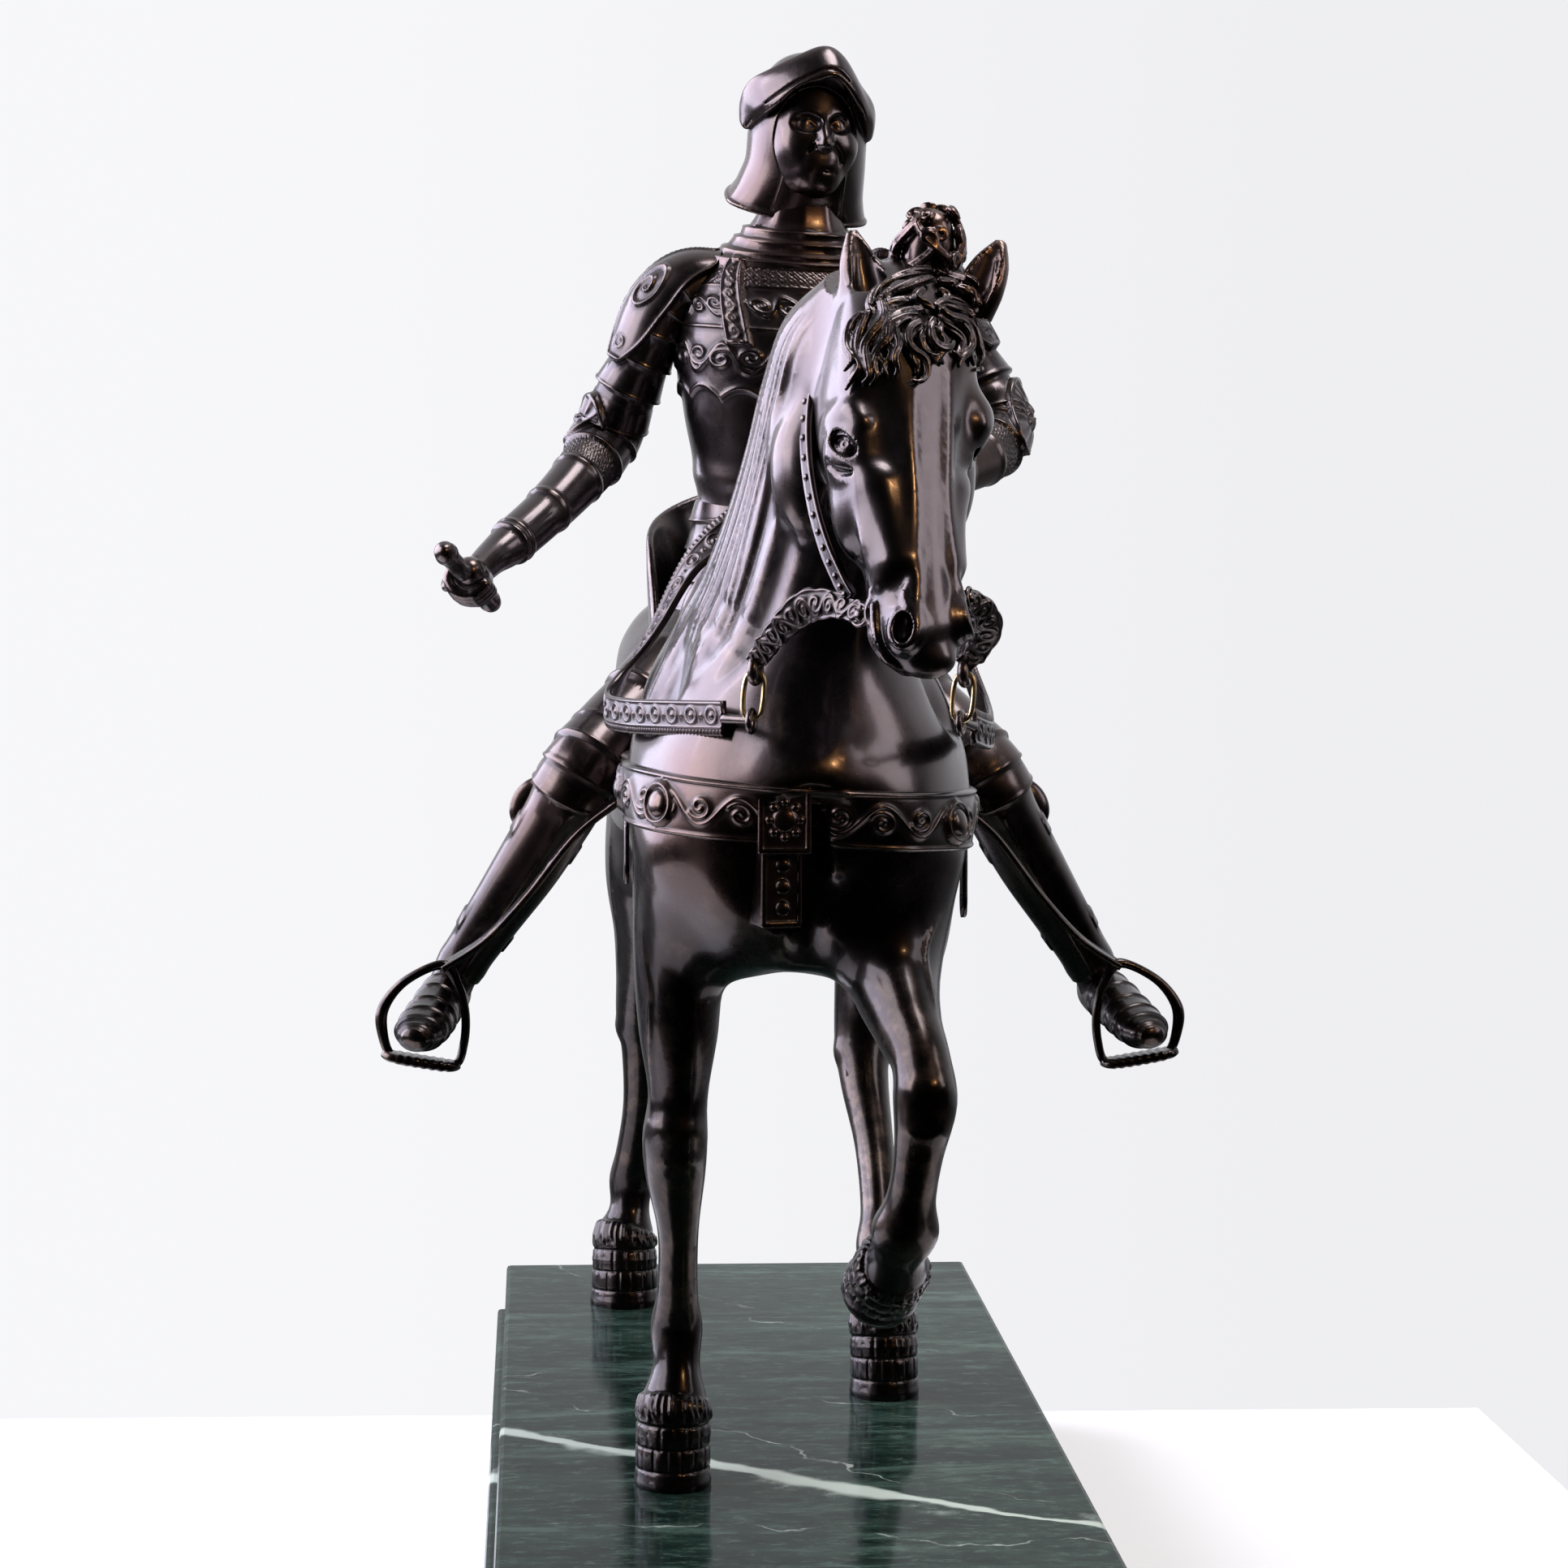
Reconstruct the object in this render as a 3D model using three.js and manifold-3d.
// An equestrian statuette: an armoured rider on a walking horse, cast in bronze, on a stepped marble block.
// Millimetres, +Z up, the horse facing -Y, the origin at the middle of the plinth's underside.
import * as THREE from "three";
import { mergeVertices } from "three/addons/utils/BufferGeometryUtils.js";
import Module from "manifold-3d";

// Driving dimensions of the plinth.
const plinthHeight = 62;
const plinthTopHeight = 18;
const plinthTopWidth = 175;
const plinthTopLength = 420;
const plinthStep = 3.5;
const plinthEdge = 1.6;
const figureBack = 10;

// The bronze, from the plinth's top to the crown of the helmet. The places of the carving are written for
// a bronze of drawnHeight, as shares of it, and grow with bronzeHeight.
const bronzeHeight = 433;
const drawnHeight = 433;
const share = bronzeHeight / drawnHeight;

// Fits and thicknesses that don't grow with the figure.
const seatGap = 0.3;
const strapThickness = 2;
const strapHeight = 17;
const saddleThickness = 3;
const batonRadius = 3.2;
const batonLength = 83;
const stirrupBar = 3.2;
const treadDepth = 9;
const leatherWidth = 5;
const leatherThickness = 1.8;
const pendantWidth = 8;
const pendantLength = 24;
const pendantThickness = 1.8;
const reinWidth = 10;
const reinThickness = 1.8;
const cheekStrapWidth = 6;
const cheekStrapThickness = 1.6;
const hookWire = 1.5;
const hookLength = 13;

// How many faces lie round each form.
const trunkFaces = 14;
const neckFaces = 12;
const breastFaces = 8;
const legFaces = 8;
const tailFaces = 8;
const earFaces = 6;
const saddleFaces = 6;
const torsoFaces = 10;
const helmetFaces = 10;
const armFaces = 8;
const smallFaces = 5;
const thinFaces = 4;

const wasm = await Module();
wasm.setup();
const { Vector3 } = THREE;

// A closed three.js geometry as a solid, and a solid as a geometry.
function solidOf(geometry) {
  const bare = geometry.clone();
  for (const name of Object.keys(bare.attributes)) if (name !== "position") bare.deleteAttribute(name);
  const merged = mergeVertices(bare, 1e-4);
  return new wasm.Manifold(
    new wasm.Mesh({
      numProp: 3,
      vertProperties: new Float32Array(merged.attributes.position.array),
      triVerts: new Uint32Array(merged.index.array),
    }),
  );
}

function geometryOf(solid) {
  const mesh = solid.getMesh();
  const geometry = new THREE.BufferGeometry();
  geometry.setAttribute("position", new THREE.BufferAttribute(mesh.vertProperties, 3));
  geometry.setIndex(new THREE.BufferAttribute(mesh.triVerts, 1));
  return geometry;
}

const join = (solids) => solids.reduce((all, one) => all.add(one));

// The casting without the tiny pockets that joined bodies enclose.
function withoutPockets(solid) {
  const shells = solid.decompose().filter((shell) => shell.volume() > 0);
  return shells.reduce((largest, shell) => (shell.volume() > largest.volume() ? shell : largest));
}

// The sections of a limb, in rows of: side, back, up, half width, reach behind, reach in front, squareness,
// lean, turn. A section lies square to the line through the rows. "Behind" is side x along: the back of a
// leg, the top of a trunk that runs backwards, the throat of a neck, the jaw of a head, the front of a torso
// that runs up. Lean widens the section towards behind. Turn is the angle in degrees by which its side axis
// is turned about the vertical.
const ROW_DEFAULTS = [0, 0, 0, 1, 1, 1, 2, 0, 0];

function fullRow(row) {
  return ROW_DEFAULTS.map((value, i) => row[i] ?? value);
}

// A row on the smooth curve through the rows, at a place counted in rows.
function rowAt(rows, place) {
  const last = rows.length - 1;
  const i = Math.min(last - 1, Math.max(0, Math.floor(place)));
  const t = place - i;
  const at = (k) => fullRow(rows[Math.min(last, Math.max(0, k))]);
  const [before, here, next, after] = [at(i - 1), at(i), at(i + 1), at(i + 2)];
  return here.map((b, n) => {
    const [a, c, d] = [before[n], next[n], after[n]];
    return b + 0.5 * t * (c - a + t * (2 * a - 5 * b + 4 * c - d + t * (3 * (b - c) + d - a)));
  });
}

function smoothRows(rows, steps) {
  const count = (rows.length - 1) * steps;
  return Array.from({ length: count + 1 }, (_, k) => rowAt(rows, k / steps));
}

const signedPower = (value, power) => Math.sign(value) * Math.abs(value) ** power;

// The middle and the two axes of a section that runs along a direction.
function sectionFrame(row, along) {
  const turn = THREE.MathUtils.degToRad(row[8]);
  const side = new Vector3(Math.cos(turn), Math.sin(turn), 0);
  side.addScaledVector(along, -side.dot(along)).normalize();
  return { middle: new Vector3(row[0], row[1], row[2]), side, behind: side.clone().cross(along) };
}

function sectionPoint(row, frame, angle, grow) {
  const across = signedPower(Math.cos(angle), 2 / row[6]);
  const depth = signedPower(Math.sin(angle), 2 / row[6]);
  const reach = (depth > 0 ? row[4] : row[5]) + grow;
  const point = frame.middle.clone();
  point.addScaledVector(frame.side, across * (row[3] + grow) * (1 + row[7] * depth));
  return point.addScaledVector(frame.behind, depth * reach);
}

// A closed body through the sections of rows. grow makes it larger all round by that much.
function limb(rows, { sides = 12, steps = 1, grow = 0, start = 0 } = {}) {
  const grown = (row) => row.map((value, i) => (i < 6 ? value * share : value));
  const sections = smoothRows(rows, steps).map(grown);
  const middles = sections.map((s) => new Vector3(s[0], s[1], s[2]));
  const last = middles.length - 1;
  const startOut = middles[0].clone().sub(middles[1]).normalize();
  const endOut = middles[last].clone().sub(middles[last - 1]).normalize();
  middles[0].addScaledVector(startOut, grow);
  middles[last].addScaledVector(endOut, grow);
  const positions = [];
  sections.forEach((row, i) => {
    const along = middles[Math.min(i + 1, last)].clone().sub(middles[Math.max(i - 1, 0)]).normalize();
    const frame = { ...sectionFrame(row, along), middle: middles[i] };
    for (let k = 0; k < sides; k++) {
      const p = sectionPoint(row, frame, start + (2 * Math.PI * k) / sides, grow);
      positions.push(p.x, p.y, p.z);
    }
  });
  return closedRings(positions, sections.length, sides, [middles[0], middles[last]]);
}

// Rings of points as a closed body. It ends in a fan at each of the two ends, or without ends it runs round.
function closedRings(positions, rings, sides, ends) {
  const index = [];
  const stretches = ends ? rings - 1 : rings;
  for (let i = 0; i < stretches; i++) {
    const [here, there] = [i * sides, ((i + 1) % rings) * sides];
    for (let k = 0; k < sides; k++) {
      const next = (k + 1) % sides;
      index.push(here + k, here + next, there + next, here + k, there + next, there + k);
    }
  }
  if (ends) {
    const fan = rings * sides;
    for (const end of ends) positions.push(end.x, end.y, end.z);
    for (let k = 0; k < sides; k++) {
      const next = (k + 1) % sides;
      index.push(fan, next, k, fan + 1, fan - sides + k, fan - sides + next);
    }
  }
  const geometry = new THREE.BufferGeometry();
  geometry.setAttribute("position", new THREE.Float32BufferAttribute(positions, 3));
  geometry.setIndex(index);
  const solid = solidOf(geometry);
  return solid.volume() > 0 ? solid : solidOf(turnedOut(geometry));
}

function turnedOut(geometry) {
  const index = geometry.index.array;
  for (let i = 0; i < index.length; i += 3) [index[i + 1], index[i + 2]] = [index[i + 2], index[i + 1]];
  return geometry;
}

// A point on the skin of a limb, raised by lift. Its place is counted in rows, and its angle in degrees from
// the side axis.
function onSkin(rows, place, angle, lift = 0) {
  const row = rowAt(rows, place);
  const ahead = rowAt(rows, Math.min(place + 0.3, rows.length - 1));
  const back = rowAt(rows, Math.max(place - 0.3, 0));
  const along = new Vector3(ahead[0] - back[0], ahead[1] - back[1], ahead[2] - back[2]).normalize();
  const p = sectionPoint(row, sectionFrame(row, along), THREE.MathUtils.degToRad(angle), lift);
  return [p.x, p.y, p.z];
}

// The rows of a limb on the other side of the body, and the rows moved.
const mirrored = (rows) => rows.map((row) => row.map((value, i) => (i === 0 || i === 8 ? -value : value)));
const moved = (rows, by) => rows.map((row) => row.map((value, i) => (i < 3 ? value + by[i] : value)));

function ball(centre, radii, { sides = 10, turn = [0, 0, 0] } = {}) {
  const geometry = new THREE.SphereGeometry(1, sides, Math.round(sides * 0.6));
  const angles = turn.map((degrees) => THREE.MathUtils.degToRad(degrees));
  geometry.scale(...radii.map((r) => r * share));
  geometry.rotateX(angles[0]).rotateY(angles[1]).rotateZ(angles[2]);
  geometry.translate(...centre.map((c) => c * share));
  return solidOf(geometry);
}

function box(low, high, turn = [0, 0, 0]) {
  const angles = turn.map((degrees) => THREE.MathUtils.degToRad(degrees));
  const geometry = new THREE.BoxGeometry(...high.map((value, i) => (value - low[i]) * share));
  geometry.rotateX(angles[0]).rotateY(angles[1]).rotateZ(angles[2]);
  geometry.translate(...high.map((value, i) => ((value + low[i]) / 2) * share));
  return solidOf(geometry);
}

// A tapered round rod through points, such as a lock of hair or a finger.
function rod(points, radii, { sides = 6, steps = 1, flat = 1 } = {}) {
  const rows = points.map((p, i) => {
    const r = radii[Math.min(i, radii.length - 1)];
    return [...p, r, r * flat, r * flat];
  });
  return limb(rows, { sides, steps });
}

// A band with a square section. Its broad side stands up, and each point ends with the azimuth of its face.
const bandSquareness = 200;

function band(points, width, thickness, steps = 1) {
  const size = [thickness / 2 / share, width / 2 / share, width / 2 / share, bandSquareness, 0];
  const rows = points.map((p) => [p[0], p[1], p[2], ...size, p[3]]);
  return limb(rows, { sides: 4, steps, start: Math.PI / 4 });
}

// A closed ring of round bar along a curve that meets itself.
function ring(points, radius, { sides = 6, steps = 16 } = {}) {
  const curve = new THREE.CatmullRomCurve3(points.map((p) => new Vector3(...p).multiplyScalar(share)), true);
  const frames = curve.computeFrenetFrames(steps, true);
  const positions = [];
  for (let i = 0; i < steps; i++) {
    const middle = curve.getPointAt(i / steps);
    for (let k = 0; k < sides; k++) {
      const angle = (2 * Math.PI * k) / sides;
      const p = middle.clone().addScaledVector(frames.normals[i], Math.cos(angle) * radius);
      p.addScaledVector(frames.binormals[i], Math.sin(angle) * radius);
      positions.push(p.x, p.y, p.z);
    }
  }
  return closedRings(positions, steps, sides, null);
}

// The horse's trunk, from the breast to the buttocks.
const TRUNK = [
  [0, -163, 200, 12, 14, 14],
  [0, -160, 201, 26, 30, 28],
  [0, -150, 202, 37, 42, 40],
  [0, -132, 204, 43.5, 52, 48],
  [0, -108, 207, 45, 60, 53],
  [0, -80, 208, 44, 62, 57],
  [0, -48, 205, 46, 56, 57],
  [0, -14, 202, 49, 50, 56],
  [0, 24, 201, 50, 49, 52],
  [0, 56, 206, 47.5, 51, 45],
  [0, 86, 211, 45, 49, 40],
  [0, 108, 211, 38, 42, 38],
  [0, 123, 208, 27, 29, 29],
  [0, 131, 206, 12, 12, 12],
];

// The neck, from inside the shoulders to the poll. It leans and turns to the horse's left.
const NECK = [
  [0, -84, 196, 40, 64, 46],
  [-1, -98, 222, 40, 60, 48],
  [-1.5, -109, 242, 35.5, 53, 45],
  [1.5, -119, 261, 30.5, 46, 41, 2, 0, 3],
  [5, -129, 280, 27.5, 39, 36, 2, 0, 6],
  [9, -139, 300, 26.2, 33, 33, 2, 0, 9],
  [13, -149, 319, 26.4, 28, 29, 2, 0, 12],
  [17.5, -158, 335, 26.4, 24, 24, 2, 0, 14],
  [21, -165, 348, 19, 17, 17, 2, 0, 14],
];

// The head, from the poll to the lips.
const HEAD = [
  [24.5, -164, 354, 9, 12, 7, 2, 0, 14],
  [24, -170.5, 347, 17, 20, 12, 2, 0, 20],
  [22.8, -178, 335, 19.8, 26, 15, 2.3, -0.05, 26],
  [21.8, -184.2, 319, 20.2, 28, 15, 2.4, -0.12, 28],
  [21.6, -190.2, 304, 17.4, 25, 14, 2.5, -0.14, 28],
  [22.2, -195.2, 289.5, 13.6, 19, 13, 2.4, 0, 28],
  [23.2, -200, 276, 11, 14, 12, 2.3, 0.05, 28],
  [24.2, -204, 265.5, 11.6, 12.5, 11, 2.3, 0.1, 28],
  [25.3, -207, 257, 11.8, 11.5, 10, 2.2, 0.1, 28],
  [26.4, -208.8, 251.5, 9, 8, 7, 2, 0, 28],
  [27, -209.8, 248, 3.5, 3.5, 3, 2, 0, 28],
];

const RIGHT_FORE = [
  [-27, -118, 218, 15, 27, 26],
  [-30, -118, 192, 16, 25, 25],
  [-33, -117, 172, 15, 20, 20],
  [-34.5, -115.5, 154, 13, 15.5, 16],
  [-34.5, -115, 137, 11.5, 12, 13],
  [-34.5, -113, 119, 8.8, 9, 9.4],
  [-35.3, -112, 106, 9.6, 9, 10],
  [-35, -109, 94, 8.8, 8.4, 8],
  [-34, -104.5, 76, 6.1, 7.2, 6],
  [-34, -100.5, 57, 6.2, 7.6, 6],
  [-34, -97, 46, 7.8, 9.6, 7],
  [-34, -98.5, 35, 7, 7.8, 7.2],
  [-34.5, -100.5, 26.5, 9.4, 8.8, 9],
  [-35, -101.5, 22, 11, 10.2, 11],
  [-35.2, -102, 10, 11.2, 11.4, 11.8],
  [-35.2, -102.5, -3, 11.3, 11.8, 12.4],
];

// The raised leg bends at the knee and hangs.
const LEFT_FORE = [
  [27, -118, 218, 15, 27, 27],
  [28.5, -122, 194, 15, 24, 24],
  [28, -132, 174, 14.2, 19, 19],
  [25.8, -144, 158, 13.2, 15, 15.5],
  [28, -157, 146, 10, 11.5, 12],
  [31, -166.5, 137, 8.4, 9.2, 9.6],
  [31.9, -171, 126, 9, 8.6, 9],
  [30.4, -169, 111, 7, 7.4, 6.8],
  [29, -164.5, 98, 7, 7.6, 6.6],
  [27.9, -160, 88, 9.6, 9.4, 8],
  [26.8, -153.5, 80.5, 8, 7.8, 7.6],
  [26.4, -148.5, 75.5, 9.4, 8.6, 9],
  [25.8, -146, 74, 11, 10, 11],
  [24.4, -138.5, 69, 11.2, 11, 11.8],
  [23.2, -131.5, 64.2, 11.4, 11.4, 12.2],
];

const RIGHT_HIND = [
  [-21, 72, 232, 22, 40, 32],
  [-28, 72, 208, 21, 43, 35],
  [-34, 74, 186, 18, 37, 31],
  [-38, 83, 164, 14.5, 27, 22],
  [-38.6, 98, 142, 10.6, 17, 15],
  [-39.4, 113, 123, 8.6, 12.4, 11],
  [-38.8, 124, 107, 8.9, 12, 9.6],
  [-38.2, 129, 93, 7.3, 9.2, 8],
  [-38.6, 133, 73, 6.3, 7.4, 6.4],
  [-40.6, 138, 55, 6.6, 7.8, 6.4],
  [-41.6, 142, 44, 8, 9.2, 7.4],
  [-42.2, 141, 34, 7.2, 7.8, 7.2],
  [-43.2, 139.5, 27, 9.6, 8.8, 9],
  [-44, 138.5, 23, 11.3, 10.2, 11.3],
  [-44, 137, 10, 11.9, 11.6, 12.8],
  [-44, 136, -3, 12.5, 12.2, 13.6],
];

const LEFT_HIND = [
  [21, 70, 232, 22, 40, 34],
  [28, 65, 208, 21, 39, 39],
  [34, 61, 186, 18, 33, 35],
  [36.5, 59, 164, 14.5, 25, 25],
  [37, 60, 143, 11.4, 17, 16],
  [35.5, 62, 124, 9.8, 12.4, 11.6],
  [35.2, 61, 108, 9.4, 12, 9.8],
  [35.6, 54, 94, 8.2, 9.2, 8],
  [37.8, 41, 75, 6.6, 7.4, 6.4],
  [38.5, 27, 56, 6.4, 7.8, 6.4],
  [38, 19, 45, 8, 9.2, 7.4],
  [37.8, 11, 35, 7.1, 7.8, 7.2],
  [37.8, 6, 26.5, 9.6, 8.8, 9],
  [37.8, 4, 22, 10.9, 10.2, 10.9],
  [38, 2, 10, 11.1, 11.2, 11.6],
  [38, 1, -3, 11.2, 11.6, 12.2],
];

// The tail leaves the croup, falls close to the buttocks and swings a little to the right.
const TAIL = [
  [0, 104, 242, 9, 9, 9],
  [0, 120, 243, 9.5, 9, 9],
  [-1, 134, 234, 11, 9, 10],
  [-3, 143, 214, 13.5, 10, 11],
  [-7, 148, 190, 15.5, 11, 12],
  [-12, 150, 166, 15.5, 11, 12],
  [-18, 150, 142, 13, 10, 10],
  [-23, 149, 120, 9.5, 8, 8],
  [-27, 149, 101, 5, 5, 5],
  [-29, 150, 90, 1.6, 1.6, 1.6],
];

// The breast muscle of the left side, from the neck down between the legs.
const BREAST = [
  [12, -112, 240, 16, 22, 22],
  [16, -127, 222, 20.5, 27, 27],
  [18, -135, 204, 21.5, 27, 27],
  [18, -133, 187, 19.5, 25, 24],
  [16, -126, 171, 15, 18, 17],
  [14, -118, 161, 9, 10, 9],
];

const RIGHT_EAR = [
  [14, -167, 342, 6, 4, 3.5],
  [12.6, -168, 350, 6.2, 4, 3],
  [11, -168, 358, 4.6, 3.2, 2.4],
  [9.8, -167, 366.5, 0.9, 0.9, 0.9],
];
const LEFT_EAR = [
  [40, -172, 343, 6, 4, 3.5],
  [43.6, -172.6, 350, 6.2, 4, 3],
  [47.4, -172, 357, 4.6, 3.2, 2.4],
  [51, -170, 364, 0.9, 0.9, 0.9],
];

// The forelock parts at the poll and falls over the forehead in waved locks that curl outwards at their ends.
const forelockLocks = 6;

function forelock() {
  const locks = [];
  for (let i = 0; i < forelockLocks; i++) {
    const spread = (2 * i) / (forelockLocks - 1) - 1;
    const angle = 270 + 62 * spread;
    const points = [0.6, 1.1, 1.6, 2.1].map((place, k) => {
      const wave = 5 * Math.sin(2.4 * k + i) + (k === 3 ? 10 * Math.sign(spread) : 0);
      return onSkin(HEAD, place * (1 - 0.16 * spread * spread), angle + k * 5 * spread + wave, 0.9);
    });
    locks.push(rod(points, [3.8, 4.4, 3.6, 1.4], { sides: thinFaces }));
  }
  return join(locks);
}

// The tuft on the poll, tied upright, with curls at its foot.
const curlCount = 4;
const TUFT = [[27, -168, 350], [29, -171, 358], [31.5, -172, 366], [33, -175, 372]];

function topknot() {
  const parts = [rod(TUFT, [7, 7.5, 7, 4], { sides: smallFaces })];
  for (let i = 0; i < curlCount; i++) {
    const angle = (2 * Math.PI * i) / curlCount;
    const [x, y] = [29 + 7.5 * Math.cos(angle), -172 + 6 * Math.sin(angle)];
    parts.push(ball([x, y, 357 + 2 * (i % 3)], [3.6, 3.6, 3.6], { sides: smallFaces }));
  }
  return join(parts);
}

// The saddle: a pad over the barrel with flaps, an arched pommel and a cantle that curves round the seat.
const saddleFront = -72;
const saddleBack = 44;
const flapBottom = 188;
// Their rows run round the seat, with half the thickness. Each turn is the azimuth of the outer face.
const POMMEL = [
  [-31, -38, 244, 2, 6, 10, 3, 0, 200],
  [-23, -53, 257, 2.4, 11, 18, 3, 0, 235],
  [0, -61, 268, 2.8, 18, 26, 3, 0, 270],
  [23, -53, 257, 2.4, 11, 18, 3, 0, 305],
  [31, -38, 244, 2, 6, 10, 3, 0, 340],
];
const CANTLE = [
  [-38, -6, 244, 2, 10, 8, 3, 0, 180],
  [-36, 15, 254, 2.4, 22, 24, 3, 0, 160],
  [-25, 32, 264, 2.8, 30, 27, 3, 0, 125],
  [0, 40, 268, 3, 34, 29, 3, 0, 90],
  [25, 32, 264, 2.8, 30, 27, 3, 0, 55],
  [36, 15, 254, 2.4, 22, 24, 3, 0, 20],
  [38, -6, 244, 2, 10, 8, 3, 0, 0],
];

function saddle(grow = 0) {
  const pad = limb(TRUNK.slice(4, 12), { sides: trunkFaces, grow: saddleThickness + grow });
  const reach = box([-70, saddleFront - grow, flapBottom - grow], [70, saddleBack + grow, 320]);
  return join([
    pad.intersect(reach),
    limb(POMMEL, { sides: saddleFaces, grow }),
    limb(CANTLE, { sides: saddleFaces, grow }),
  ]);
}

// The breast strap lies on the shoulders, a little lower on the left, with a square boss and a hanging panel.
const strapMiddle = 205;
const strapTilt = 4;

function breastStrap() {
  const skin = join([
    limb(TRUNK, { sides: trunkFaces, grow: strapThickness }),
    limb(BREAST, { sides: breastFaces, grow: strapThickness }),
    limb(mirrored(BREAST), { sides: breastFaces, grow: strapThickness }),
  ]);
  const half = strapHeight / 2 / share;
  const [low, high] = [[-90, -220, strapMiddle - half], [90, saddleFront + 4, strapMiddle + half]];
  const slab = box(low, high, [0, strapTilt, 0]);
  const panel = box([-15.5, -166, 174], [-3.5, -150, 198], [14, 0, 0]);
  return join([skin.intersect(slab), panel, box([-15, -169, 195], [0, -156, 214])]);
}

// The rounded masses that show through the skin: eyes, cheeks, nostrils.
function headMasses() {
  return join([
    ball(onSkin(HEAD, 4.05, 194, -2), [5, 5.4, 4.6], { sides: smallFaces }),
    ball(onSkin(HEAD, 4.05, -14, -2), [5, 5.4, 4.6], { sides: smallFaces }),
    ball(onSkin(HEAD, 8.0, 222, -3), [4.6, 5.4, 5.6], { sides: smallFaces }),
    ball(onSkin(HEAD, 8.0, -42, -3), [4.6, 5.4, 5.6], { sides: smallFaces }),
  ]);
}

function nostrils() {
  return join([
    ball(onSkin(HEAD, 8.0, 222, 1.4), [2.2, 3, 3.4], { sides: smallFaces }),
    ball(onSkin(HEAD, 8.0, -42, 1.4), [2.2, 3, 3.4], { sides: smallFaces }),
  ]);
}

function horseSolid() {
  const above = box([-200, -250, 0], [200, 250, 600]);
  const standingLegs = [RIGHT_FORE, RIGHT_HIND, LEFT_HIND].map((rows) => limb(rows, { sides: legFaces }));
  const body = join([
    limb(TRUNK, { sides: trunkFaces }),
    limb(NECK, { sides: neckFaces }),
    limb(HEAD, { sides: neckFaces }),
    limb(TAIL, { sides: tailFaces }),
    limb(BREAST, { sides: breastFaces }),
    limb(mirrored(BREAST), { sides: breastFaces }),
    limb(LEFT_FORE, { sides: legFaces }),
    join(standingLegs).intersect(above),
    limb(RIGHT_EAR, { sides: earFaces }),
    limb(LEFT_EAR, { sides: earFaces }),
    headMasses(),
    forelock(),
    topknot(),
    breastStrap(),
    ball([-45.5, -107, 208], [3.4, 4, 4], { sides: smallFaces }),
    ball([45.5, -107, 198], [3.4, 4, 4], { sides: smallFaces }),
    saddle(),
  ]);
  return withoutPockets(body.subtract(nostrils()));
}

// The rider sits upright in the saddle, looks ahead and carries a short baton; the left hand holds the reins.
const TORSO = [
  [0, -6, 250, 25, 19, 21],
  [0, -6, 268, 29, 21, 22],
  [1, -7, 284, 26, 19, 18],
  [2, -8, 300, 28, 20.5, 17.5],
  [3, -9, 320, 33, 24.5, 19.5],
  [4.5, -10, 340, 36, 25.5, 21],
  [5.5, -10.5, 355, 34, 22, 19],
  [6, -11, 366, 27, 17.5, 16],
  [6.5, -12.5, 375, 17, 14, 13.5],
  [7, -13.5, 383, 12.5, 11.5, 11.5],
  [7.5, -14.5, 395, 11, 11, 10.5],
];
const RIDER_HEAD = [
  [8, -23, 387, 5, 7, 5, 2, 0, 8],
  [8, -22.5, 391, 9, 12.6, 9, 2, 0, 8],
  [8.3, -20.5, 398.5, 12.4, 14.2, 13, 2.2, 0, 8],
  [8.6, -19, 407, 13.8, 15.6, 16, 2.2, 0, 8],
  [8.8, -17, 416, 14.4, 15.4, 17.4, 2.2, 0, 8],
  [8.8, -16, 424, 11.5, 12.5, 14, 2, 0, 8],
];
// The helmet is an open shell with a band round the brow and a flared neck guard.
const HELMET = [
  [7.5, -9, 383, 24.5, 14, 30, 2, 0, 8],
  [7.8, -11, 389, 21.2, 16, 25, 2, 0, 8],
  [8.2, -13, 397, 19, 18, 21, 2, 0, 8],
  [8.8, -14.5, 413.5, 18.8, 21, 19.6, 2, 0, 8],
  [8.8, -15, 414.5, 20.8, 23.6, 21.6, 2, 0, 8],
  [9, -15, 420.5, 20.2, 22.8, 21, 2, 0, 8],
  [9, -15, 421.5, 18, 20.2, 18.8, 2, 0, 8],
  [9, -14.8, 426.5, 14.8, 17.4, 16.4, 2, 0, 8],
  [8.8, -14.5, 430.5, 9.4, 12, 11.4, 2, 0, 8],
  [8.6, -14, 432.5, 2.5, 4, 4, 2, 0, 8],
];
const helmetWall = 1.8;

const RIGHT_ARM = [
  [-10, -10, 360, 9, 11, 11],
  [-28, -10, 359.5, 12, 13, 13],
  [-38, -9, 352, 12.4, 13.2, 13.2],
  [-44, -7, 339, 12, 12.8, 12.8],
  [-49, -4, 325, 11.2, 11.8, 11.8],
  [-54, 0, 312.5, 11.4, 11.6, 11.6],
  [-61.5, -9, 301.5, 10.4, 10.4, 11],
  [-72.5, -24, 289.5, 9, 9, 9.2],
  [-84, -39, 278.5, 7, 7, 7],
  [-90, -47, 274, 5.6, 6, 5.6],
  [-95, -57, 269, 5, 5, 5],
];
const LEFT_ARM = [
  [22, -10, 360, 9, 11, 11],
  [42, -11, 359, 12, 13, 13],
  [53, -12, 352, 13, 13.5, 13.5],
  [60, -13, 340, 12.4, 13, 13],
  [66, -15, 327, 11.4, 11.8, 11.8],
  [70, -19, 315, 11.4, 11.6, 11.6],
  [66, -30, 307, 10.4, 10.4, 11],
  [55, -43, 302, 9.2, 9.2, 9.4],
  [41, -56, 298, 7, 7, 7],
  [34, -62, 296.5, 5.6, 6, 5.6],
  [27, -66, 296, 5, 5, 5],
];
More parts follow.
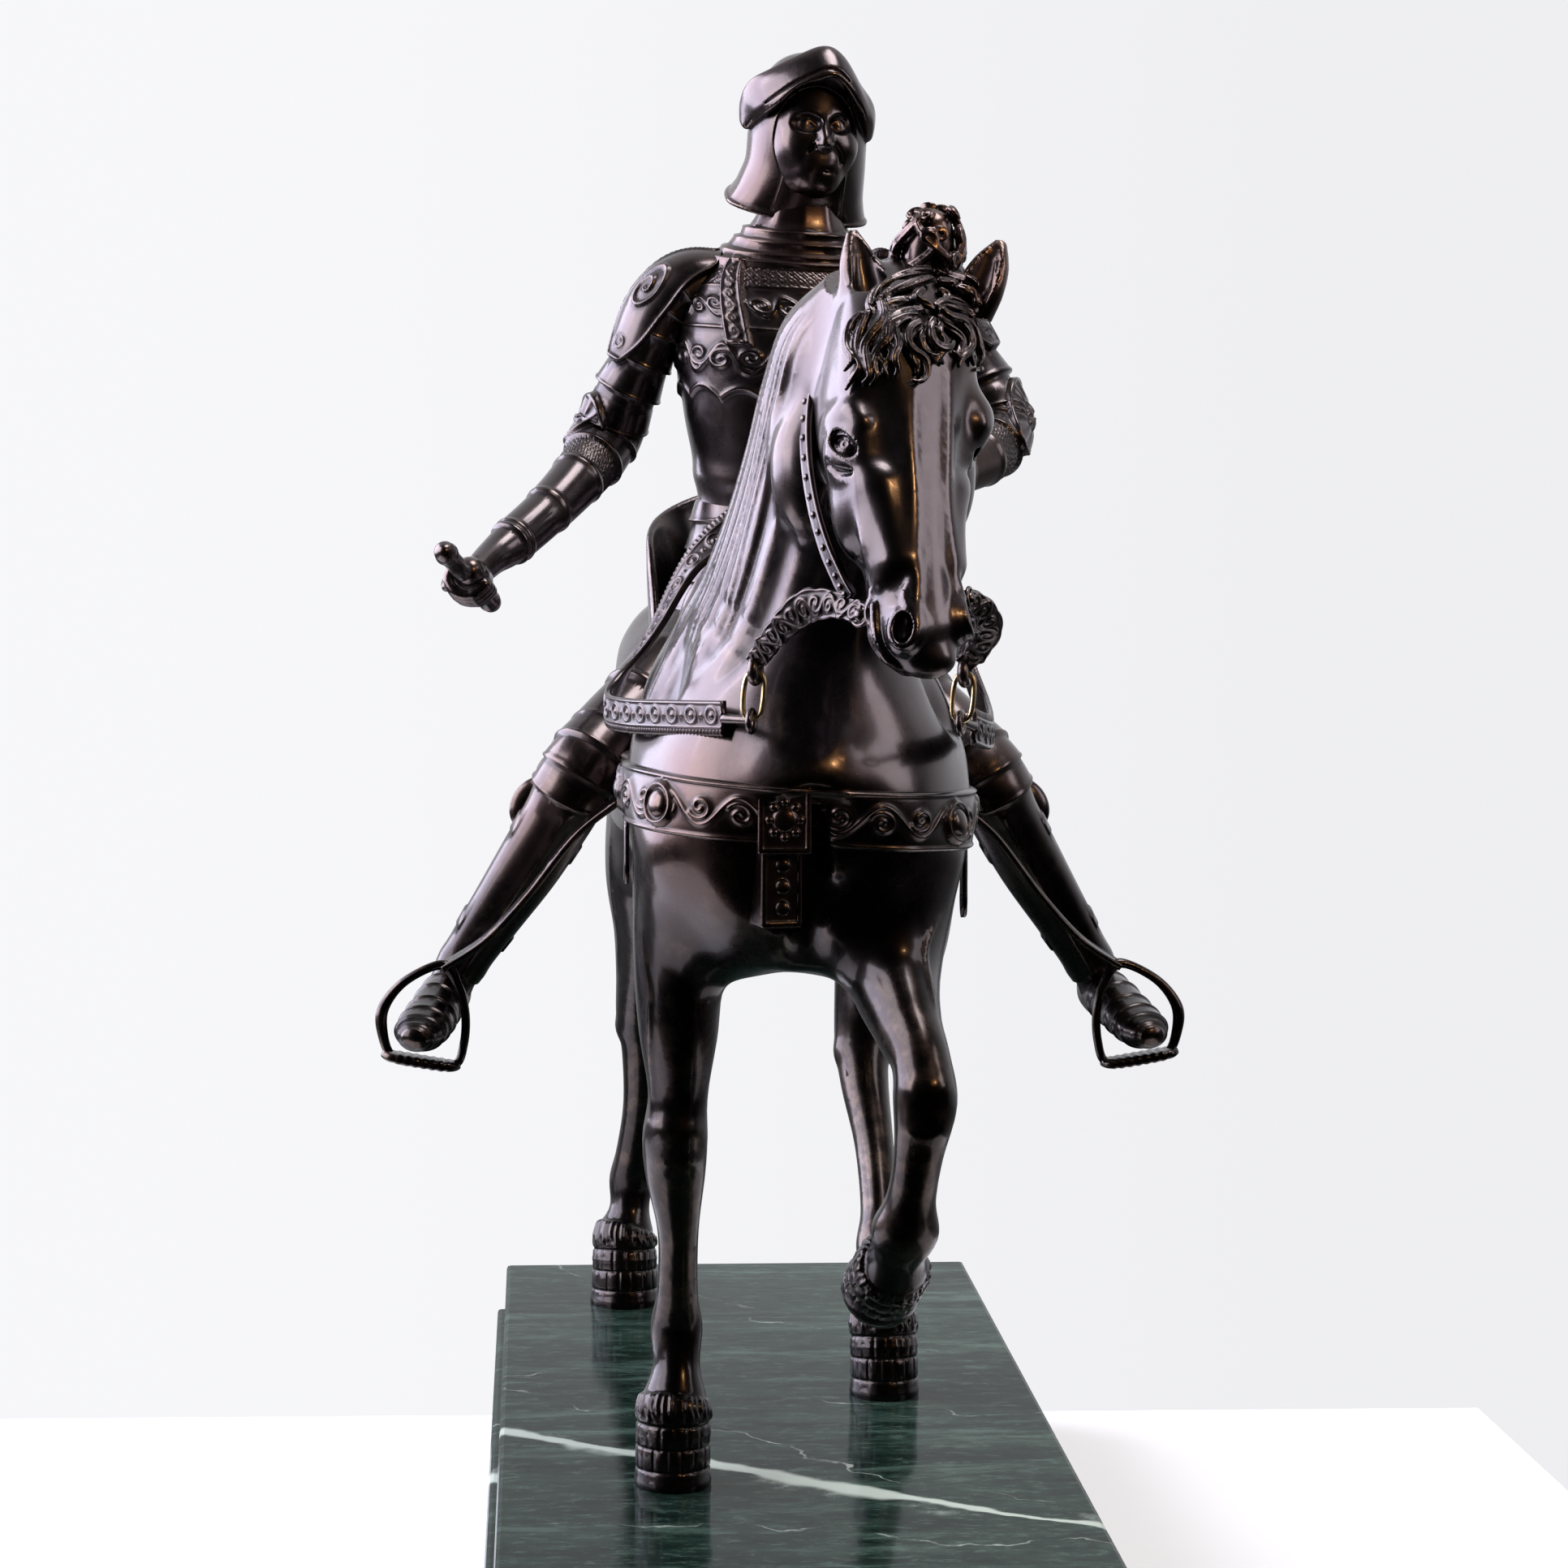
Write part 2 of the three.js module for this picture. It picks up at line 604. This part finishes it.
const LEFT_LEG = [
  [12, 2, 256, 15, 16, 17],
  [24, -10, 247, 13.8, 14.5, 14.5],
  [38, -27, 233.5, 12.4, 13, 13],
  [52, -41, 220, 11.8, 12.5, 12],
  [62, -50, 208, 11.6, 12.5, 11.5],
  [69.5, -47, 194, 10.4, 12, 9.6],
  [79, -42, 178, 9.6, 11.8, 8.4],
  [90, -36, 161, 8, 9.4, 7.2],
  [99.5, -30, 146, 6.8, 7.4, 6.6],
  [103.5, -28, 138, 7, 8, 7],
];
const LEFT_FOOT = [
  [102, -17, 137, 5, 5, 5],
  [103.5, -24, 136, 7, 7, 8],
  [106, -38, 134.5, 7.2, 7, 8.5],
  [109, -52, 131.5, 7.8, 6.2, 7],
  [111.5, -63, 129.5, 7.4, 5.4, 5.4],
  [113, -70, 128.5, 3.6, 3, 3],
];

// The rows of a limb clad in overlapping plates. Each band of plates runs from one place in the rows to
// another, and each of its plates rises from the first height to the second, where it covers the next.
function cladRows(rows, bands) {
  const out = [];
  const grown = (place, by) => rowAt(rows, place).map((value, n) => (n > 2 && n < 6 ? value + by : value));
  let place = 0;
  for (const [from, to, count, low, high] of bands) {
    for (; place < from - 0.1; place++) out.push(rowAt(rows, place));
    const step = (to - from) / count;
    for (let i = 0; i < count; i++) {
      out.push(grown(from + i * step, low), grown(from + (i + 1) * step - 0.02, high));
    }
    place = Math.ceil(to + 0.1);
  }
  for (; place < rows.length; place++) out.push(rowAt(rows, place));
  return out;
}

// The skirt of the armour: short plates that open towards the saddle.
const SKIRT = [
  [0, -6, 292, 25, 18.5, 18],
  [0, -6, 282, 26.5, 21, 22],
  [0, -5, 270, 28.5, 24, 26],
  [0, -4, 258, 33, 28, 30],
  [0, -3, 248, 38, 30, 32],
];

// The wing on the outside of a knee: two rounded leaves that spread from one root.
function kneeWing(side) {
  return join([
    ball([side * 69, -40, 216], [5.6, 2.2, 9.4], { sides: smallFaces }),
    ball([side * 80.5, -40, 202], [9.4, 2.2, 5.4], { sides: smallFaces, turn: [0, side * 25, 0] }),
    ball([side * 68, -42, 206], [8, 4, 8], { sides: smallFaces }),
  ]);
}

// A closed hand round a bar: a palm, four fingers and a thumb. The bar runs along the unit vector bar.
const fingerCount = 4;

function fist(centre, bar, knuckles) {
  const [c, b, k] = [new Vector3(...centre), new Vector3(...bar).normalize(), new Vector3(...knuckles)];
  k.addScaledVector(b, -k.dot(b)).normalize();
  const across = b.clone().cross(k);
  const place = (along, out, up) => {
    const point = c.clone().addScaledVector(b, along).addScaledVector(k, out);
    return point.addScaledVector(across, up).toArray();
  };
  const fingers = Array.from({ length: fingerCount }, (_, i) => {
    const along = 3.4 * (i - 1.5);
    return rod([place(along, 4, 5), place(along, 5.6, -3.8)], [2.6, 2.2], { sides: thinFaces });
  });
  const hand = [place(-7, -1.6, 0.4), place(-3, -1, 0.6), place(7, -1.6, 0.4)];
  const palm = rod(hand, [4.6, 7, 5.4], { sides: smallFaces });
  const thumb = rod([place(-6, -2, -3), place(-3.4, 4, -5.4)], [2.8, 1.9], { sides: thinFaces });
  return join([palm, thumb, ...fingers]);
}

const batonMiddle = [-96.5, -60, 268];
const batonLine = new Vector3(-13, -80, 18).normalize();

function baton() {
  const half = batonLength / 2;
  const middle = new Vector3(...batonMiddle).multiplyScalar(share);
  const ends = [-half, -half + 1.2, half - 1.2, half];
  const radii = [0.7, 1, 1, 0.7].map((r) => r * batonRadius);
  const points = ends.map((d) => middle.clone().addScaledVector(batonLine, d).divideScalar(share).toArray());
  return rod(points, radii.map((r) => r / share), { sides: smallFaces });
}

function riderHead() {
  const shell = limb(HELMET, { sides: helmetFaces });
  const below = limb(moved(HELMET.slice(0, 3), [0, 0, -3]), { sides: helmetFaces, grow: -helmetWall });
  const faceOpening = ball([11, -44, 396], [16, 25, 19], { sides: helmetFaces });
  const throatOpening = box([-6.5, -60, 366], [25, -22, 396], [0, 0, 8]);
  const face = join([
    limb(RIDER_HEAD, { sides: 10 }),
    ball(onSkin(RIDER_HEAD, 2.6, 90, 0.2), [2.2, 2.6, 4.6], { sides: smallFaces }),
    ball(onSkin(RIDER_HEAD, 0.9, 90, -2), [4.4, 3, 3], { sides: smallFaces }),
  ]);
  return shell.subtract(join([below, faceOpening, throatOpening])).add(face);
}

// The plates on an arm, on a leg, round the skirt and on the neck, as cladRows takes them.
const ARM_PLATES = [[1, 3.6, 3, 0.4, 2], [4.4, 5.6, 1, 1.4, 1.8], [6.4, 8, 1, 0.2, 1.2]];
const LEG_PLATES = [[3.4, 4.4, 2, 1, 1.8], [4.6, 8, 1, 0.6, 1]];
const SKIRT_PLATES = [[0, 4, 3, 0.4, 1.8]];
const GORGET_PLATES = [[7, 9.2, 2, 1.6, 0.8]];
const leftHand = [25, -67, 296];

function legSolid(rows, footRows, side) {
  const leg = limb(cladRows(rows, LEG_PLATES), { sides: armFaces });
  return join([leg, limb(footRows, { sides: smallFaces }), kneeWing(side)]);
}

function riderSolid() {
  const rider = join([
    limb(cladRows(TORSO, GORGET_PLATES), { sides: torsoFaces }),
    limb(cladRows(SKIRT, SKIRT_PLATES), { sides: torsoFaces }),
    limb(cladRows(RIGHT_ARM, ARM_PLATES), { sides: armFaces }),
    limb(cladRows(LEFT_ARM, ARM_PLATES), { sides: armFaces }),
    fist(batonMiddle, batonLine.toArray(), [-0.6, -0.5, -0.6]),
    fist(leftHand, [0, 0.6, 1], [-1, -0.4, 0]),
    riderHead(),
    baton(),
    legSolid(LEFT_LEG, LEFT_FOOT, 1),
    legSolid(mirrored(LEFT_LEG), mirrored(LEFT_FOOT), -1),
  ]);
  const seat = join([
    limb(TRUNK, { sides: trunkFaces, grow: seatGap }),
    limb(NECK, { sides: neckFaces, grow: seatGap }),
    saddle(seatGap),
  ]);
  return withoutPockets(rider.subtract(seat));
}

// A stirrup iron hangs at the ball of the foot, tilted with the leg, and its leather runs up to the saddle.
const stirrupMiddle = [109.7, -56, 132.5];
const stirrupTilt = 12;

function stirrupSolid(side) {
  const tilt = THREE.MathUtils.degToRad(stirrupTilt);
  const place = (across, up) => [
    side * (stirrupMiddle[0] + across * Math.cos(tilt) - up * Math.sin(tilt)),
    stirrupMiddle[1],
    stirrupMiddle[2] + across * Math.sin(tilt) + up * Math.cos(tilt),
  ];
  const sole = -10.4;
  const bow = [[-11, sole], [0, sole - 0.6], [11, sole], [14, 1], [8.5, 12], [0, 17], [-8.5, 12], [-14, 1]];
  const bowLine = bow.map(([across, up]) => place(across, up));
  const iron = ring(bowLine, stirrupBar / 2, { sides: thinFaces, steps: 12 });
  const tread = limb([
    [...place(-12, sole - 0.6), treadDepth / 4, 1.1, 1.1, 2, 0, 90],
    [...place(-9, sole - 0.8), treadDepth / 2, 1.2, 1.2, 4, 0, 90],
    [...place(9, sole - 0.8), treadDepth / 2, 1.2, 1.2, 4, 0, 90],
    [...place(12, sole - 0.6), treadDepth / 4, 1.1, 1.1, 2, 0, 90],
  ], { sides: smallFaces });
  const top = place(0, 16.5);
  const leather = band(
    [[...top, 90], [side * 74, -63.5, 182, 90], [side * 51.6, -67, 199, 90]],
    leatherWidth, leatherThickness, 2,
  );
  return join([iron, tread, leather]);
}

// The skin of the head and neck, with the gap that a strap or bar keeps from it.
function headSkin() {
  return limb(HEAD, { sides: neckFaces, grow: seatGap }).add(limb(NECK, { sides: neckFaces, grow: seatGap }));
}

// The bit's curved shank leaves the mouth's corner and ends in a ring, with a boss where it turns.
const RIGHT_SHANK = [
  [11, -200.5, 262], [5, -194.5, 264.6], [-3, -187, 264], [-10, -180, 257.5], [-16, -171, 248.6],
];
const LEFT_SHANK = [
  [38.5, -196, 266.5], [43, -192, 264], [45.5, -186.5, 258.5], [44, -181.5, 253], [41, -177.5, 248.8],
];
const RIGHT_RING = [-16, -171, 246];
const LEFT_RING = [41, -177.5, 246];
const ringRadius = 3.4;

function shankSolid(points, eye) {
  const hoop = Array.from({ length: 8 }, (_, i) => {
    const angle = (Math.PI * i) / 4;
    const out = ringRadius * Math.cos(angle);
    return [eye[0] + 0.35 * out, eye[1] + 0.94 * out, eye[2] + ringRadius * Math.sin(angle)];
  });
  const shank = rod(points, [1.8, 2.4, 2.6, 2.3, 1.7], { sides: smallFaces });
  const end = ring(hoop, 1.2, { sides: thinFaces, steps: 8 });
  return withoutPockets(shank.add(end).subtract(headSkin().add(headMasses())));
}

// A long brass link hangs in the ring of the shank and holds the eye of the rein.
const linkSlope = 0.08;
const linkTop = (eye) => [eye[0], eye[1], eye[2] - ringRadius + 1.2 + (hookWire + seatGap) / share];
const linkFoot = (eye) => {
  const top = linkTop(eye);
  return [top[0] - linkSlope * hookLength, top[1], top[2] - hookLength / share];
};

function hookSolid(eye) {
  const top = linkTop(eye);
  const [reach, half] = [hookLength / share, 2.6];
  const line = [[0, 0], [half, -2.2], [half, 2.2 - reach], [0, -reach], [-half, 2.2 - reach], [-half, -2.2]];
  const points = line.map(([across, up]) => {
    return [top[0] + 0.94 * across + linkSlope * up, top[1] - 0.34 * across, top[2] + up];
  });
  return ring(points, hookWire / 2, { sides: thinFaces, steps: 12 });
}

// The rein is a broad strap that runs round the neck to the rider's left hand. Its eye hangs on the link.
const RIGHT_REIN = [
  [-24, -161, 232, 222], [-38, -141, 231, 216], [-50, -116, 230, 200], [-55, -97, 231, 184],
  [-51, -85, 238, 184], [-41, -79, 253, 198], [-28, -73, 275, 215], [-8, -70, 290, 250], [12, -68, 294, 270],
];
const LEFT_REIN = [
  [44.5, -168, 230.5, -20], [50, -152, 228, -20], [54, -130, 227, -12], [56, -104, 230, 0],
  [54, -85, 240, 4], [49, -75, 258, 0], [43, -71, 276, -12], [37, -70, 288, -30],
];
const eyeRadius = 2.8;

function reinSolid(points, eye) {
  const foot = linkFoot(eye);
  const centre = [foot[0], foot[1], foot[2] - 0.6];
  const hoop = Array.from({ length: 8 }, (_, i) => {
    const [out, up] = [eyeRadius * Math.cos((Math.PI * i) / 4), eyeRadius * Math.sin((Math.PI * i) / 4)];
    return [centre[0] + 0.34 * out, centre[1] + 0.94 * out, centre[2] + up];
  });
  const neckLine = [[centre[0] + 1, centre[1] + eyeRadius, centre[2]], points[0].slice(0, 3)];
  const neck = rod(neckLine, [1.2, 1.6], { sides: thinFaces });
  const end = ring(hoop, 1, { sides: thinFaces, steps: 8 });
  return join([band(points, reinWidth, reinThickness), end, neck]);
}

// The cheek strap arches from behind the jaw to the corner of the mouth.
const RIGHT_CHEEK = [
  [0, -167.5, 329, 202], [-2.6, -173, 317, 199], [-2.8, -178, 304, 196], [-1.2, -184, 291, 196],
  [1.6, -189.6, 280, 198], [5.2, -194.4, 271, 200],
];

// The point of a strap on the other side of the head.
function acrossHead([x, y, z, azimuth]) {
  const places = Array.from({ length: 101 }, (_, i) => (i / 100) * (HEAD.length - 1));
  const middle = places.map((place) => rowAt(HEAD, place)).find((row) => row[2] < z);
  const turn = THREE.MathUtils.degToRad(middle[8]);
  const away = (x - middle[0]) * Math.cos(turn) + (y - middle[1]) * Math.sin(turn);
  return [x - 2 * away * Math.cos(turn), y - 2 * away * Math.sin(turn), z, 180 - azimuth + 2 * middle[8]];
}

function cheekStrapSolid(points) {
  const strap = band(points, cheekStrapWidth, cheekStrapThickness);
  return withoutPockets(strap.subtract(headSkin()));
}

// A flat tongue hangs from the boss at the side of the breast strap.
const RIGHT_BOSS = [-49.6, -107, 204];
const LEFT_BOSS = [49.6, -107, 194];

function pendantSolid(side, top) {
  const [half, length] = [pendantWidth / 2, pendantLength];
  const shape = new THREE.Shape();
  shape.moveTo(-half * 0.6, 0).lineTo(half * 0.6, 0).lineTo(half, -length * 0.75);
  shape.quadraticCurveTo(half, -length, 0, -length).quadraticCurveTo(-half, -length, -half, -length * 0.75);
  shape.closePath();
  const plate = { depth: pendantThickness, bevelEnabled: false, curveSegments: 4 };
  const geometry = new THREE.ExtrudeGeometry(shape, plate);
  geometry.translate(0, 0, -pendantThickness / 2);
  geometry.rotateX(Math.PI / 2).rotateZ((side * Math.PI) / 2);
  geometry.translate(...top.map((value) => value * share));
  return solidOf(geometry);
}

const bronze = new THREE.MeshStandardMaterial({ color: 0x2e211b, roughness: 0.35, metalness: 0.85 });
const brass = new THREE.MeshStandardMaterial({ color: 0xa8854a, roughness: 0.35, metalness: 1 });
const marble = new THREE.MeshStandardMaterial({ color: 0x2c3d35, roughness: 0.15, metalness: 0 });

const statuette = new THREE.Group();
const figure = new THREE.Group();
figure.position.set(0, figureBack, plinthHeight);
statuette.add(figure);

function addPiece(parent, name, solid, material) {
  const mesh = new THREE.Mesh(geometryOf(solid), material);
  mesh.name = name;
  parent.add(mesh);
  return mesh;
}

// The plinth is a block with a narrower slab on it, both with softly rounded edges.
function slabSolid(width, length, bottom, height) {
  const shape = new THREE.Shape();
  const [x, y] = [width / 2 - plinthEdge, length / 2 - plinthEdge];
  shape.moveTo(-x, -y).lineTo(x, -y).lineTo(x, y).lineTo(-x, y).closePath();
  const geometry = new THREE.ExtrudeGeometry(shape, {
    depth: height - 2 * plinthEdge,
    bevelThickness: plinthEdge,
    bevelSize: plinthEdge,
    bevelSegments: 2,
  });
  geometry.translate(0, 0, bottom + plinthEdge);
  return solidOf(geometry);
}

function plinthSolid() {
  const blockHeight = plinthHeight - plinthTopHeight;
  const block = slabSolid(plinthTopWidth + 2 * plinthStep, plinthTopLength + 2 * plinthStep, 0, blockHeight);
  const slabBottom = blockHeight - 2 * plinthEdge;
  const slabHeight = plinthHeight - seatGap - slabBottom;
  return block.add(slabSolid(plinthTopWidth, plinthTopLength, slabBottom, slabHeight));
}

addPiece(statuette, "marble_plinth", plinthSolid(), marble);
addPiece(figure, "horse", horseSolid(), bronze);
addPiece(figure, "rider", riderSolid(), bronze);
addPiece(figure, "stirrup_right", stirrupSolid(-1), bronze);
addPiece(figure, "stirrup_left", stirrupSolid(1), bronze);
addPiece(figure, "cheek_strap_right", cheekStrapSolid(RIGHT_CHEEK), bronze);
addPiece(figure, "cheek_strap_left", cheekStrapSolid(RIGHT_CHEEK.map(acrossHead)), bronze);
addPiece(figure, "bit_shank_right", shankSolid(RIGHT_SHANK, RIGHT_RING), bronze);
addPiece(figure, "bit_shank_left", shankSolid(LEFT_SHANK, LEFT_RING), bronze);
addPiece(figure, "rein_hook_right", hookSolid(RIGHT_RING), brass);
addPiece(figure, "rein_hook_left", hookSolid(LEFT_RING), brass);
addPiece(figure, "rein_right", reinSolid(RIGHT_REIN, RIGHT_RING), bronze);
addPiece(figure, "rein_left", reinSolid(LEFT_REIN, LEFT_RING), bronze);
addPiece(figure, "pendant_right", pendantSolid(-1, RIGHT_BOSS), bronze);
addPiece(figure, "pendant_left", pendantSolid(1, LEFT_BOSS), bronze);

export default statuette;
